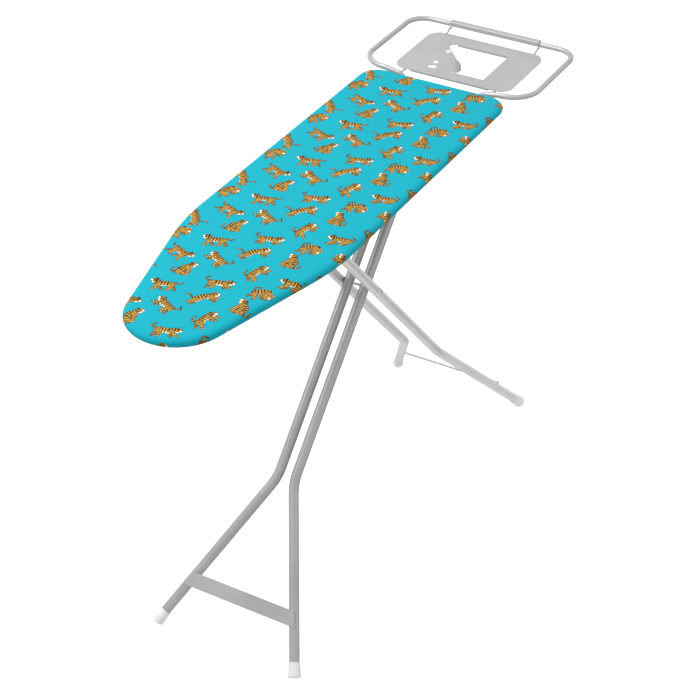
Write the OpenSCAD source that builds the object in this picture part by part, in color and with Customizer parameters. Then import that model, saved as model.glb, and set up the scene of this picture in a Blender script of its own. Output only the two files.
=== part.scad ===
// Ironing board with a crossed-leg stand, a wire-and-plate iron rest and a covered, padded top.
// Millimetres. +X points to the iron rest, -X to the pointed nose, +Z up, floor at Z = 0.
// Every part is drawn with the legs opened to the highest setting.

/* [Board] */
// Length of the covered board, nose to rear edge
board_length = 1100; // [1050:5:1150]
// Width of the covered board
board_width = 343; // [320:1:360]
// Height of the ironing surface above the floor
board_height = 910; // [880:5:940]
// Thickness of the covered board at its edge
board_thickness = 19; // [17:0.5:22]
// Radius of the rounded nose
nose_radius = 102; // [90:1:115]
// Radius of the two rear corners
rear_corner_radius = 45; // [30:1:60]
// Distance from the nose to the place where the sides start to taper
taper_start = 429; // [400:1:460]

/* [Legs] */
// Outside diameter of the leg tubes
leg_tube = 22; // [19:0.5:25]
// Wall of the leg tubes
leg_wall = 1.2; // [1:0.1:2]
// Slope of the front leg pair above the floor, in degrees
front_slope = 46.06; // [44:0.01:48]
// Slope of the rear leg pair above the floor, in degrees
rear_slope = 48.89; // [47:0.01:51]
// Distance from the board's rear edge to the front feet
front_reach = 932.7; // [900:0.1:960]
// Distance that the rear feet stand out behind the board's rear edge
rear_reach = 158.8; // [130:0.1:190]
// Half of the distance between the two front leg tubes above their bends
front_half_gap = 19.5; // [18:0.1:20]
// Half of the distance between the two rear leg tubes above their bends
rear_half_gap = 43; // [42.5:0.1:46]
// Half of the distance between the feet of a pair
foot_half_gap = 175; // [150:1:190]
// Angle by which the lower part of each leg flares outwards
flare = 22; // [18:0.1:26]
// Bend radius of the front leg tubes
front_bend_radius = 120; // [80:1:160]
// Bend radius of the rear leg tubes
rear_bend_radius = 60; // [40:1:100]

/* [Iron rest] */
// Distance that the iron rest stands out behind the board's rear edge
rest_reach = 284.5; // [270:0.5:300]
// Diameter of the iron rest's loop tube
loop_tube = 12; // [10:0.5:14]
// Half of the distance between the loop's two side tubes
loop_half_width = 203; // [190:1:215]
// Height of the loop's centre line below the ironing surface
loop_drop = 5; // [3:0.5:8]
// Depth of the plate, along the board
plate_depth = 202; // [190:1:210]
// Width of the plate, across the board
plate_width = 282; // [260:1:300]
// Diameter of the two wires under the plate
wire = 4.5; // [4:0.5:5.5]

/* [Mechanism] */
// Height of the hinge tube and of the slider rod
hinge_z = 876; // [874:0.5:877]
// Distance of the hinge tube and slider rod from the centre line of their legs
top_offset = 21.5; // [21:0.5:23]
// Diameter of the hinge tube
hinge_tube = 16; // [14:0.5:18]
// Diameter of the pivot rod where the legs cross
pivot_rod_d = 6; // [5:0.5:8]
// Diameter of the slider rod at the top of the rear legs
slider_rod_d = 8; // [6:0.5:8]
// Radial clearance of every running fit
running_fit = 0.05; // [0.02:0.01:0.1]

/* [Hidden] */
$fn = 48;
eps = 1;
bend_hair = 0.03;
bend_lap = 0.3;

// Colours
steel_front = [0.63, 0.64, 0.65];
steel_rear = [0.76, 0.77, 0.77];
steel_rest = [0.74, 0.74, 0.74];
zinc = [0.70, 0.71, 0.72];
cap_white = [0.87, 0.87, 0.87];
cover_blue = [0.09, 0.74, 0.86];
foam_grey = [0.80, 0.80, 0.78];
nylon_grey = [0.45, 0.46, 0.48];

// Where the board sits along X, so that the origin is under the middle of the whole length
rear_x = (board_length - rest_reach) / 2;

// Layers of the board
cover_skin = 1.2;
hem_width = 38;
board_under = board_height - board_thickness;
pad_top = board_height - cover_skin - 0.3;
pad_thickness = 5.5;
deck_top = pad_top - pad_thickness - 0.3;
deck_sheet = 0.8;
deck_under = deck_top - deck_sheet;
deck_inset = 3;
rim_bottom = board_under + cover_skin + 0.5;
edge_soften = 4;

// Channels pressed from sheet, which cross the board under the deck
channel_web_bottom = 889.2;
channel_sheet = 1.5;
channel_width = 56;
channel_lip = 10;
channel_length = 200;
rest_channel_width = 30;
rest_channel_x = rear_x - hem_width - 1 - rest_channel_width / 2;

// Scissor geometry in the X-Z plane: the crossing point, then the two top joints
front_foot_x = rear_x - front_reach;
rear_foot_x = rear_x + rear_reach;
pivot_z = (rear_foot_x - front_foot_x) / (1 / tan(front_slope) + 1 / tan(rear_slope));
pivot_x = front_foot_x + pivot_z / tan(front_slope);
front_below = pivot_z / sin(front_slope);
rear_below = pivot_z / sin(rear_slope);
front_above = (hinge_z - pivot_z - top_offset * cos(front_slope)) / sin(front_slope);
rear_above = (hinge_z - pivot_z - top_offset * cos(rear_slope)) / sin(rear_slope);
front_top = front_below + front_above;
rear_top = rear_below + rear_above;
hinge_x = pivot_x + front_above * cos(front_slope) - top_offset * sin(front_slope);
slider_x = pivot_x - rear_above * cos(rear_slope) + top_offset * sin(rear_slope);
slider_x_folded = hinge_x - front_above - rear_above;
tube_past_top = 12;
tube_r = leg_tube / 2;
rod_r = pivot_rod_d / 2;

// Foot caps
cap_length = 32;
cap_r = 13.6;
cap_mouth_r = 12;
cap_edge = 4;
cap_flat = 0.5;

// Iron rest
loop_z = board_height - loop_drop;
loop_r = loop_tube / 2;
loop_rear_x = rear_x + rest_reach - loop_r;
loop_front_x = rear_x + 14;
loop_rear_radius = 45;
loop_front_radius = 62;
wire_r = wire / 2;
wire_y = 110;
wire_z = 890.25;
bar_below_wire = 1.5;
loop_low_z = wire_z - wire_r - loop_r - bar_below_wire;
plate_sheet = 1.5;
plate_z = wire_z + wire_r;
plate_front_x = rear_x + 48;
plate_rear_x = plate_front_x + plate_depth;
strip_half = 111;
clamp_y = 60;

// Height rack
rack_y = 64;
rack_sheet = 2;
rack_bottom = 861;
bush_r = 5.5;
slot_below = 0.5;
slot_above = 2.4;
notch_depth = 1.5;
notch_pitch = 44;

// Release lever
lever_x = rear_x - 640;
lever_y = -98;
lever_z = 875;
lever_pin_r = 2.5;
lever_droop = 8;
keeper_top = hinge_z - slider_rod_d / 2 - 1;
keeper_sheet = 3;

// Frames: X runs up the leg pair from its foot line, Y across, Z square to the pair.
module front_frame() {
    translate([front_foot_x, 0, 0]) rotate([0, -front_slope, 0]) children();
}

module rear_frame() {
    translate([rear_foot_x, 0, 0]) rotate([0, rear_slope - 180, 0]) children();
}

// A frame whose X-Y plane is the vertical X-Z plane at a given Y; its Z points to -Y.
module side_plane(y) {
    translate([0, y, 0]) rotate([90, 0, 0]) children();
}

function heading(v) = atan2(v[1], v[0]);

// Cross-section of a bent tube; a wall of 0 makes it a solid rod.
module route_section(r, wall) {
    if (wall > 0) difference() {
        circle(r = r);
        circle(r = r - wall);
    }
    else circle(r = r);
}

// A bent rod or tube that starts at the origin along +X in the X-Y plane. Each step is
// [straight length, then turn in degrees], as on a tube bender; the last turn is 0.
// A bend is thinner than the straights by a hair, and they lap over its ends, so all of it joins.
module bent_tube(steps, r, bend, wall = 0, at = 0) {
    turn = steps[at][1];
    side = turn > 0 ? 1 : -1;
    last = at == len(steps) - 1;
    lap_in = at > 0 ? bend_lap : 0;
    run = steps[at][0] + lap_in + (last ? 0 : bend_lap);
    translate([-lap_in, 0, 0]) rotate([0, 90, 0]) linear_extrude(height = run) route_section(r, wall);
    if (!last) translate([steps[at][0], 0, 0]) {
        mirror([0, side > 0 ? 0 : 1, 0]) translate([0, bend, 0]) rotate([0, 0, -90])
            rotate_extrude(angle = abs(turn)) translate([bend, 0])
                route_section(r - bend_hair, wall > 0 ? wall - 2 * bend_hair : 0);
        translate([0, side * bend, 0]) rotate([0, 0, turn]) translate([0, -side * bend, 0])
            bent_tube(steps, r, bend, wall, at + 1);
    }
}

// Length that a bend takes off each of the two straight lines that meet in it.
function bend_trim(bend, turn) = bend * tan(abs(turn) / 2);

function arc(c, r, from, to, steps) =
    [for (i = [0 : steps]) let (a = from + (to - from) * i / steps) c + r * [cos(a), sin(a)]];

// Board outline drawn inwards by a margin: square rear end, parallel sides, tapered nose.
shoulder_radius = 500;
shoulder_c = [taper_start - board_length, board_width / 2 - shoulder_radius];
nose_c = [nose_radius - board_length, 0];
centre_gap = nose_c - shoulder_c;
taper_angle = heading(centre_gap) - acos((shoulder_radius - nose_radius) / norm(centre_gap));

function mirrored(p) = [for (i = [len(p) - 1 : -1 : 0]) [p[i][0], -p[i][1]]];
function half_outline(margin) = concat(
    arc([-rear_corner_radius, board_width / 2 - rear_corner_radius],
        rear_corner_radius - margin, 0, 90, 12),
    arc(shoulder_c, shoulder_radius - margin, 90, taper_angle, 6),
    arc(nose_c, nose_radius - margin, taper_angle, 180, 24));
function board_outline(margin) = concat(half_outline(margin), mirrored(half_outline(margin)));

module board_slab(margin, z0, z1) {
    translate([rear_x, 0, z0]) linear_extrude(height = z1 - z0) polygon(board_outline(margin));
}

// ---- Board ----

module cover() {
    color(cover_blue) difference() {
        union() {
            board_slab(0, board_under + 2, board_height - 3);
            board_slab(edge_soften / 2, board_under, board_height - 1);
            board_slab(edge_soften, board_height - 3, board_height);
        }
        board_slab(deck_inset - 0.5, board_under + cover_skin, board_height - cover_skin - 2);
        board_slab(edge_soften + 1.5, board_under + cover_skin, board_height - cover_skin);
        board_slab(hem_width, board_under - eps, board_under + cover_skin + eps);
    }
}

module foam_pad() {
    color(foam_grey) board_slab(edge_soften + 2, deck_top + 0.3, pad_top);
}

hole_pitch = 40;
hole_r = 5;
hole_rows = 7;

module deck_panel() {
    color(zinc) difference() {
        board_slab(deck_inset, rim_bottom, deck_top);
        board_slab(deck_inset + deck_sheet, rim_bottom - eps, deck_under);
        for (i = [1 : 25], j = [0 : hole_rows - 1]) {
            x = rear_x - board_length + 40 + i * hole_pitch;
            y = (j - (hole_rows - 1) / 2) * hole_pitch + (i % 2) * hole_pitch / 2;
            if (abs(y) < 45 + (x - rear_x + board_length) * 0.22 && abs(y) < board_width / 2 - 22)
                translate([x, y, deck_under - eps]) cylinder(r = hole_r, h = 3, $fn = 6);
        }
    }
}

module channel(x, length, width = channel_width) {
    half = width / 2;
    web = channel_web_bottom;
    profile = [
        [-half, web], [half, web], [half, deck_under - channel_sheet],
        [half + channel_lip, deck_under - channel_sheet], [half + channel_lip, deck_under],
        [half - channel_sheet, deck_under], [half - channel_sheet, web + channel_sheet],
        [channel_sheet - half, web + channel_sheet], [channel_sheet - half, deck_under],
        [-half - channel_lip, deck_under], [-half - channel_lip, deck_under - channel_sheet],
        [-half, deck_under - channel_sheet]
    ];
    translate([x, length / 2, 0]) rotate([90, 0, 0]) linear_extrude(height = length)
        polygon(profile);
}

module hinge_channel() { color(zinc) channel(hinge_x, channel_length + 30); }
module rack_channel_front() { color(zinc) channel(slider_x_folded - 4, channel_length - 30); }
module rack_channel_rear() { color(zinc) channel(slider_x + 2, channel_length - 30); }
module rest_channel() { color(zinc) channel(rest_channel_x, channel_length, rest_channel_width); }

// ---- Fixed hinge of the front legs ----

block_y = 80;
block_width = 24;
block_r = 12;
block_flange = 4;
block_screw_dx = 21;

module hinge_block(side) {
    top = channel_web_bottom;
    color(nylon_grey) translate([hinge_x, side * block_y, 0]) difference() {
        union() {
            side_plane(block_width / 2) translate([0, hinge_z, 0]) cylinder(r = block_r, h = block_width);
            translate([-block_r, -block_width / 2, hinge_z]) cube([2 * block_r, block_width, top - hinge_z]);
            translate([-channel_width / 2, -block_width / 2, top - block_flange])
                cube([channel_width, block_width, block_flange]);
        }
        side_plane(block_width / 2 + eps) translate([0, hinge_z, 0])
            cylinder(r = hinge_tube / 2 + running_fit, h = block_width + 2 * eps);
    }
}

module hinge_block_left() { hinge_block(1); }
module hinge_block_right() { hinge_block(-1); }

// A low screw or rivet head that hangs under a face at height z.
module head_under(x, y, z, r, h) {
    translate([x, y, z - h]) cylinder(r1 = r * 0.8, r2 = r, h = h);
}

module block_screws() {
    color(zinc) for (side = [-1, 1], dx = [-block_screw_dx, block_screw_dx])
        head_under(hinge_x + dx, side * block_y, channel_web_bottom - block_flange, 4.5, 2.4);
}

// ---- Height rack ----

rack_x0 = slider_x_folded - 30;
rack_x1 = slider_x + 32;
rack_flange_y = 50;
slot_x0 = slider_x_folded - bush_r - 1;
slot_x1 = slider_x + bush_r + 1;
notch_r = 7;

module rack_slot() {
    slot_bottom = hinge_z - bush_r - slot_below;
    slot_top = hinge_z + bush_r + slot_above;
    translate([slot_x0, slot_bottom]) square([slot_x1 - slot_x0, slot_top - slot_bottom]);
    for (i = [0 : 5])
        translate([slider_x - i * notch_pitch, slot_top + notch_depth - notch_r]) circle(r = notch_r);
}

module rack(side) {
    flange_z = channel_web_bottom - rack_sheet;
    inner = side > 0 ? rack_flange_y : -rack_y - rack_sheet;
    color(zinc) {
        side_plane(side > 0 ? rack_y + rack_sheet : -rack_y) linear_extrude(height = rack_sheet)
            difference() {
                translate([rack_x0, rack_bottom])
                    square([rack_x1 - rack_x0, channel_web_bottom - rack_bottom]);
                rack_slot();
                for (end = [0, 1]) translate([end == 0 ? rack_x0 : rack_x1, rack_bottom])
                    rotate([0, 0, 45]) square(14, center = true);
            }
        translate([rack_x0, inner, flange_z])
            cube([rack_x1 - rack_x0, rack_y + rack_sheet - rack_flange_y, rack_sheet]);
    }
}

module rack_left() { rack(1); }
module rack_right() { rack(-1); }

module rack_rivets() {
    z = channel_web_bottom - rack_sheet;
    color(zinc) for (side = [-1, 1], x = [slider_x_folded - 4, slider_x + 2], dx = [-16, 16])
        head_under(x + dx, side * (rack_flange_y + 6), z, 3.5, 1.6);
}

// ---- Clamps that hold the iron rest's loop ----

clamp_width = 24;
clamp_sheet = 2;
clamp_tongue_x = rest_channel_x - rest_channel_width / 2;

module rest_clamp(side) {
    color(zinc) translate([0, side * clamp_y, 0]) difference() {
        union() {
            side_plane(clamp_width / 2) translate([loop_front_x, loop_low_z, 0])
                cylinder(r = loop_r + clamp_sheet, h = clamp_width);
            translate([clamp_tongue_x, -clamp_width / 2, channel_web_bottom - clamp_sheet])
                cube([loop_front_x - clamp_tongue_x, clamp_width, clamp_sheet]);
        }
        side_plane(clamp_width) translate([loop_front_x, loop_low_z, 0])
            cylinder(r = loop_r, h = 2 * clamp_width);
    }
}

module rest_clamp_left() { rest_clamp(1); }
module rest_clamp_right() { rest_clamp(-1); }

module clamp_screws() {
    color(zinc) for (side = [-1, 1], dx = [-8, 8])
        head_under(rest_channel_x + dx, side * clamp_y, channel_web_bottom - clamp_sheet, 4.5, 2.2);
}

// ---- Iron rest ----

dip_radius = 18;
dip_ease = 10;
dip_angle = 50;
dip_y = 99;
bar_level = 0.5;
ease_trim = bend_trim(dip_radius, dip_ease);
turn_trim = bend_trim(dip_radius, dip_angle - dip_ease);
foot_trim = bend_trim(dip_radius, dip_angle);
loop_join_y = loop_half_width - loop_front_radius;

// The loop runs round the rear and both sides; the front bar closes it under the board.
module rest_loop() {
    side_x0 = loop_front_x + loop_front_radius;
    side_x1 = loop_rear_x - loop_rear_radius;
    color(steel_rest) for (side = [-1, 1]) mirror([0, side > 0 ? 0 : 1, 0]) {
        translate([side_x0, loop_join_y, loop_z]) rotate([0, 0, 90]) rotate_extrude(angle = 90)
            translate([loop_front_radius, 0]) circle(r = loop_r - bend_hair);
        translate([side_x0 - bend_lap, loop_half_width, loop_z]) rotate([0, 90, 0])
            cylinder(r = loop_r, h = side_x1 - side_x0 + 2 * bend_lap);
        translate([side_x1, loop_half_width - loop_rear_radius, loop_z]) rotate_extrude(angle = 90)
            translate([loop_rear_radius, 0]) circle(r = loop_r - bend_hair);
    }
    rear_half = loop_half_width - loop_rear_radius + bend_lap;
    color(steel_rest) translate([loop_rear_x, rear_half, loop_z]) rotate([90, 0, 0])
        cylinder(r = loop_r, h = 2 * rear_half);
}

// The front bar closes the loop. It eases down over the wires, then dips under the board's rear edge.
module rest_front_bar() {
    ease_run = loop_join_y - bar_level - ease_trim - dip_y;
    ease = ease_run / cos(dip_ease) - ease_trim - turn_trim;
    drop = loop_z - loop_low_z - ease_run * tan(dip_ease);
    steep = drop / sin(dip_angle) - turn_trim - foot_trim;
    low = 2 * (dip_y - drop / tan(dip_angle) - foot_trim);
    color(steel_rest) translate([loop_front_x, -loop_join_y, loop_z]) rotate([90, 0, 90])
        bent_tube([
            [bar_level, -dip_ease], [ease, dip_ease - dip_angle], [steep, dip_angle],
            [low, dip_angle], [steep, dip_ease - dip_angle], [ease, -dip_ease], [bar_level, 0]
        ], loop_r, dip_radius);
}

wire_rise_angle = 25;
wire_bend = 10;

module rest_wire(side) {
    rise = loop_z - loop_r - wire_r - wire_z;
    trim = bend_trim(wire_bend, wire_rise_angle);
    level = loop_rear_x - 24 - trim - (loop_front_x - 4);
    slope = rise / sin(wire_rise_angle) - 2 * trim;
    color(steel_rest) translate([loop_front_x - 4, side * wire_y, wire_z]) rotate([90, 0, 0])
        bent_tube([[level, wire_rise_angle], [slope, -wire_rise_angle], [6, 0]], wire_r, wire_bend);
}

module rest_wire_left() { rest_wire(1); }
module rest_wire_right() { rest_wire(-1); }

module rounded_plate(x0, x1, half, r, h) {
    linear_extrude(height = h) {
        for (x = [x0 + r, x1 - r], side = [-1, 1]) translate([x, side * (half - r)]) circle(r = r);
        translate([x0 + r, -half]) square([x1 - x0 - 2 * r, 2 * half]);
        translate([x0, r - half]) square([x1 - x0, 2 * (half - r)]);
    }
}

// Cut-out of the plate: a slanted left edge, where the flap folds down, and a rounded corner.
cut_front = rear_x + 82;
cut_rear = rear_x + 210;
cut_right = -67;
fold_a = [rear_x + 87, 12];
fold_b = [rear_x + 174, 56];
cut_corner_r = 13;
flap_radius = 22;
flap_hair = 0.1;
flap_lap = 1;
rim_depth = 4;
press_hole = [rear_x + 86, 60];
press_hole_r = 9.5;

function cut_points() = concat(
    [[cut_front, cut_right], [cut_front, fold_a[1]], fold_a, fold_b],
    arc([cut_rear - cut_corner_r, 72 - cut_corner_r], cut_corner_r, 125, 0, 8),
    [[cut_rear, cut_right]]);

// The flap is a hair thinner than the plate and starts inside it, so the two join cleanly.
module flap() {
    along = fold_b - fold_a;
    span = norm(along);
    sheet = plate_sheet - 2 * flap_hair;
    translate([fold_a[0], fold_a[1], plate_z + plate_sheet - flap_hair]) rotate([0, 0, heading(along)])
        intersection() {
            translate([-20, 0, -flap_radius]) rotate([90, 0, 90]) linear_extrude(height = span + 40)
                difference() {
                    intersection() {
                        circle(r = flap_radius);
                        translate([-flap_radius, 0]) square([flap_radius + flap_lap, flap_radius]);
                    }
                    circle(r = flap_radius - sheet);
                }
            translate([0, 0, -flap_radius - eps]) linear_extrude(height = flap_radius + 2 * eps)
                polygon([[2, flap_lap], [span - 2, flap_lap], [span, 0], [span * 0.64, -11],
                    [span * 0.6, -flap_radius - eps], [span * 0.35, -20], [span * 0.1, -16],
                    [-5, -8], [0, 0]]);
        }
}

module pressed_tab() {
    tilt = 25;
    translate([press_hole[0] - press_hole_r + 0.6, press_hole[1], plate_z + plate_sheet])
        rotate([0, tilt, 0]) intersection() {
            translate([press_hole_r - 0.6, 0, -plate_sheet])
                cylinder(r = press_hole_r - 0.6, h = plate_sheet);
            translate([-1, -20, -5]) cube([40, 40, 10]);
        }
    translate([press_hole[0] - press_hole_r - 1, press_hole[1] - 4, plate_z])
        cube([2.6, 8, plate_sheet]);
}

module rest_plate() {
    dimple_r = 12;
    dimple_depth = 0.7;
    color(steel_rest) difference() {
        union() {
            difference() {
                translate([0, 0, plate_z])
                    rounded_plate(plate_front_x, plate_rear_x, plate_width / 2, 32, plate_sheet);
                translate([0, 0, plate_z - eps]) linear_extrude(height = plate_sheet + 2 * eps)
                    polygon(cut_points());
                translate([press_hole[0], press_hole[1], plate_z - eps])
                    cylinder(r = press_hole_r, h = plate_sheet + 2 * eps);
            }
            flap();
            pressed_tab();
            translate([cut_rear, cut_right, plate_z - rim_depth])
                cube([plate_sheet, 72 - cut_corner_r - cut_right, rim_depth + 0.5]);
            translate([cut_front + 6, cut_right - plate_sheet, plate_z - rim_depth])
                cube([cut_rear + plate_sheet - cut_front - 6, plate_sheet, rim_depth + 0.5]);
            translate([plate_front_x, -96, plate_z - 2.5]) cube([plate_sheet, 192, 3]);
        }
        for (x = [plate_front_x + 20, plate_rear_x - 18], side = [-1, 1])
            translate([x, side * wire_y, plate_z + plate_sheet + dimple_r - dimple_depth])
                rotate([90, 0, 0]) sphere(r = dimple_r);
    }
}

module plate_pads() {
    color(cap_white) for (dx = [107, 167])
        translate([rear_x + dx, 61, plate_z + plate_sheet]) rotate_extrude()
            polygon(concat([[0, 0], [6, 0]], arc([4.4, 0.4], 1.6, 0, 90, 6), [[0, 2.3]]));
}

module heat_strip() {
    half = loop_r + 2;
    color(steel_rest) side_plane(strip_half) translate([loop_rear_x, loop_z, 0])
        linear_extrude(height = 2 * strip_half) difference() {
            union() {
                translate([-half, -2]) square([2 * half, 8]);
                translate([2 - half, 0]) square([2 * half - 4, half]);
                for (sx = [-1, 1]) translate([sx * (half - 2), half - 2]) circle(r = 2);
            }
            circle(r = loop_r);
            translate([-loop_r, -4]) square([2 * loop_r, 4]);
        }
}

// ---- Release lever: drawn on the right side, then mirrored to the left ----

module on_left() {
    mirror([0, 1, 0]) children();
}

ear_gap = 20;
ear_sheet = 2;

module lever_bracket() {
    on_left() color(zinc) difference() {
        union() {
            for (side = [-1, 1])
                translate([lever_x + side * (ear_gap + ear_sheet / 2) - ear_sheet / 2, 0, 0]) {
                    translate([0, lever_y, lever_z]) rotate([0, 90, 0]) cylinder(r = 7, h = ear_sheet);
                    translate([0, lever_y - 7, lever_z]) cube([ear_sheet, 14, deck_under - lever_z]);
                }
            translate([lever_x - ear_gap - ear_sheet, lever_y - 12, deck_under - ear_sheet])
                cube([2 * (ear_gap + ear_sheet), 24, ear_sheet]);
        }
        translate([lever_x - 40, lever_y, lever_z]) rotate([0, 90, 0]) cylinder(r = lever_pin_r, h = 80);
    }
}

module lever_pin() {
    pin_head = 1.5;
    reach = ear_gap + ear_sheet + pin_head;
    on_left() color(zinc) translate([lever_x - reach, lever_y, lever_z]) rotate([0, 90, 0]) {
        cylinder(r = lever_pin_r, h = 2 * reach);
        cylinder(r = 4, h = pin_head);
        translate([0, 0, 2 * reach - pin_head]) cylinder(r = 4, h = pin_head);
    }
}

spring_r = 4.6;
spring_wire_r = 0.6;
spring_turns = 6;
spring_pitch = 1.1;

// Close-wound torsion spring round the pin.
module lever_spring() {
    on_left() color(zinc) translate([lever_x + 9, lever_y, lever_z]) rotate([0, 90, 0]) {
        for (i = [0 : spring_turns - 1]) translate([0, 0, i * spring_pitch])
            rotate_extrude() translate([spring_r, 0]) circle(r = spring_wire_r);
    }
}

arm_width = 24;
arm_z = keeper_top - 2 * keeper_sheet;

module release_lever() {
    barrel_r = 5;
    on_left() color(zinc) difference() {
        union() {
            translate([lever_x - 17, lever_y, lever_z]) rotate([0, 90, 0])
                cylinder(r = barrel_r, h = arm_width);
            translate([lever_x - 17, lever_y - 5, arm_z]) cube([arm_width, 10, 8]);
            translate([lever_x - 17, lever_y - 5, arm_z]) cube([arm_width, 32, keeper_sheet]);
            translate([lever_x - 17, lever_y, lever_z]) rotate([lever_droop, 0, 0])
                translate([0, -50, -5]) cube([arm_width, 50, keeper_sheet]);
        }
        translate([lever_x - 30, lever_y, lever_z]) rotate([0, 90, 0])
            cylinder(r = lever_pin_r + running_fit, h = 60);
    }
}

module keeper_bar() {
    on_left() color(zinc) translate([slider_x_folded - 14, lever_y + 19, keeper_top - keeper_sheet])
        cube([slider_x - slider_x_folded + 28, 7.5, keeper_sheet]);
}

module lever_grip() {
    grip = [52, 36, 9];
    on_left() color(nylon_grey) translate([lever_x - 17 + arm_width / 2, lever_y, lever_z])
        rotate([lever_droop, 0, 0]) translate([0, -40, -3.5]) difference() {
            hull() for (sx = [-1, 1], sy = [-1, 1])
                translate([sx * (grip[0] / 2 - 9), sy * (grip[1] / 2 - 9), 0])
                    scale([1, 1, 0.5]) sphere(r = 9, $fn = 24);
            translate([-arm_width / 2, -10, -1.5]) cube([arm_width, 40, keeper_sheet]);
        }
}

// ---- Legs, in the frame of their pair ----

function leg_corner_s(half) = (foot_half_gap - half) / tan(flare);

// From the foot, up the flared part, round the bend and up to the top.
module leg_tube_shape(half, top, bend, start, pivot_s, hole_r) {
    trim = bend_trim(bend, flare);
    lower = leg_corner_s(half) / cos(flare) - start - trim;
    upper = top + tube_past_top - leg_corner_s(half) - trim;
    difference() {
        translate([0, foot_half_gap, 0]) rotate([0, 0, -flare]) translate([start, 0, 0])
            bent_tube([[lower, flare], [upper, 0]], tube_r, bend, leg_wall);
        translate([pivot_s, half + 2 * tube_r, 0]) rotate([90, 0, 0])
            cylinder(r = hole_r, h = 4 * tube_r);
    }
}

// How far up the flared axis the end face of a foot cap lies, so that its edge meets the floor.
function cap_start(slope) = let (
        s = sin(slope) * cos(flare), c = sqrt(1 - s * s))
    ((cap_r - cap_edge) * c + cap_edge - cap_flat) / s - cap_edge;

module foot_cap(slope) {
    start = cap_start(slope);
    wall_end = 4;
    translate([0, foot_half_gap, 0]) rotate([0, 0, -flare]) rotate([0, 90, 0])
        translate([0, 0, start]) rotate_extrude() polygon(concat(
            [[0, 0]], arc([cap_r - cap_edge, cap_edge], cap_edge, -90, 0, 6),
            [[cap_mouth_r, cap_length], [tube_r, cap_length], [tube_r, wall_end], [0, wall_end]]));
}

module above_floor() {
    intersection() {
        children();
        translate([-2000, -400, 0]) cube([4000, 800, 200]);
    }
}

front_tube_start = cap_start(front_slope) + 4;
rear_tube_start = cap_start(rear_slope) + 4;

module front_leg(side) {
    color(steel_front) front_frame() mirror([0, side > 0 ? 0 : 1, 0])
        leg_tube_shape(front_half_gap, front_top, front_bend_radius, front_tube_start,
            front_below, rod_r);
}

module rear_leg(side) {
    color(steel_rear) rear_frame() mirror([0, side > 0 ? 0 : 1, 0])
        leg_tube_shape(rear_half_gap, rear_top, rear_bend_radius, rear_tube_start,
            rear_below, rod_r + running_fit);
}

module front_leg_left() { front_leg(1); }
module front_leg_right() { front_leg(-1); }
module rear_leg_left() { rear_leg(1); }
module rear_leg_right() { rear_leg(-1); }

module front_foot_cap(side) {
    color(cap_white) above_floor() front_frame() mirror([0, side > 0 ? 0 : 1, 0]) foot_cap(front_slope);
}

module rear_foot_cap(side) {
    color(cap_white) above_floor() rear_frame() mirror([0, side > 0 ? 0 : 1, 0]) foot_cap(rear_slope);
}

module front_foot_cap_left() { front_foot_cap(1); }
module front_foot_cap_right() { front_foot_cap(-1); }
module rear_foot_cap_left() { rear_foot_cap(1); }
module rear_foot_cap_right() { rear_foot_cap(-1); }

module top_plug(half, top) {
    translate([top + tube_past_top, half, 0]) rotate([0, 90, 0]) {
        cylinder(r = tube_r, h = 2);
        translate([0, 0, -12]) cylinder(r = tube_r - leg_wall, h = 12 + eps);
    }
}

module front_top_plugs() {
    color(cap_white) front_frame() for (side = [-1, 1]) top_plug(side * front_half_gap, front_top);
}

module rear_top_plugs() {
    color(cap_white) rear_frame() for (side = [-1, 1]) top_plug(side * rear_half_gap, rear_top);
}

// Flat strip across the front legs, on the side that faces the nose; its ends follow the legs.
strip_low = 106;
strip_high = 138;
strip_sheet = 2.5;
strip_past_axis = 6;
function leg_axis_y(s) = foot_half_gap - s * tan(flare);

module front_crossbar() {
    low = leg_axis_y(strip_low) + strip_past_axis;
    high = leg_axis_y(strip_high) + strip_past_axis;
    color(steel_front) front_frame() translate([0, 0, tube_r]) linear_extrude(height = strip_sheet)
        polygon([[strip_low, -low], [strip_high, -high], [strip_high, high], [strip_low, low]]);
}

head_low = 22;
head_high = 12;
head_half = 30;
head_sheet = top_offset - hinge_tube / 2 - leg_tube / 2;
hinge_tube_half = 96;
hinge_tube_wall = 1.5;

module front_head_plate() {
    color(steel_front) front_frame() translate([front_top - head_low, -head_half, tube_r])
        cube([head_low + head_high, 2 * head_half, head_sheet]);
}

module front_hinge_tube() {
    color(steel_front) translate([hinge_x, 0, 0]) side_plane(hinge_tube_half)
        translate([0, hinge_z, 0]) difference() {
            cylinder(r = hinge_tube / 2, h = 2 * hinge_tube_half);
            translate([0, 0, -eps])
                cylinder(r = hinge_tube / 2 - hinge_tube_wall, h = 2 * (hinge_tube_half + eps));
        }
}

module hinge_end_caps() {
    inner_r = hinge_tube / 2 - hinge_tube_wall;
    color(cap_white) for (side = [-1, 1])
        translate([hinge_x, side * hinge_tube_half, hinge_z]) rotate([-90 * side, 0, 0]) {
            cylinder(r = hinge_tube / 2 + 1, h = 3);
            translate([0, 0, -12]) cylinder(r = inner_r, h = 12 + eps);
        }
}

// ---- Pivot where the legs cross ----

pivot_rod_half = rear_half_gap + tube_r + 6;
washer_sheet = rear_half_gap - front_half_gap - 2 * tube_r - 0.3;

module pivot_rod() {
    color(zinc) translate([pivot_x, 0, 0]) side_plane(pivot_rod_half) translate([0, pivot_z, 0])
        cylinder(r = rod_r, h = 2 * pivot_rod_half);
}

module pivot_washers() {
    color(zinc) for (side = [-1, 1])
        translate([pivot_x, side * (front_half_gap + tube_r), pivot_z]) rotate([-90 * side, 0, 0])
            difference() {
                cylinder(r = 7, h = washer_sheet);
                translate([0, 0, -eps]) cylinder(r = rod_r, h = washer_sheet + 2 * eps);
            }
}

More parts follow.
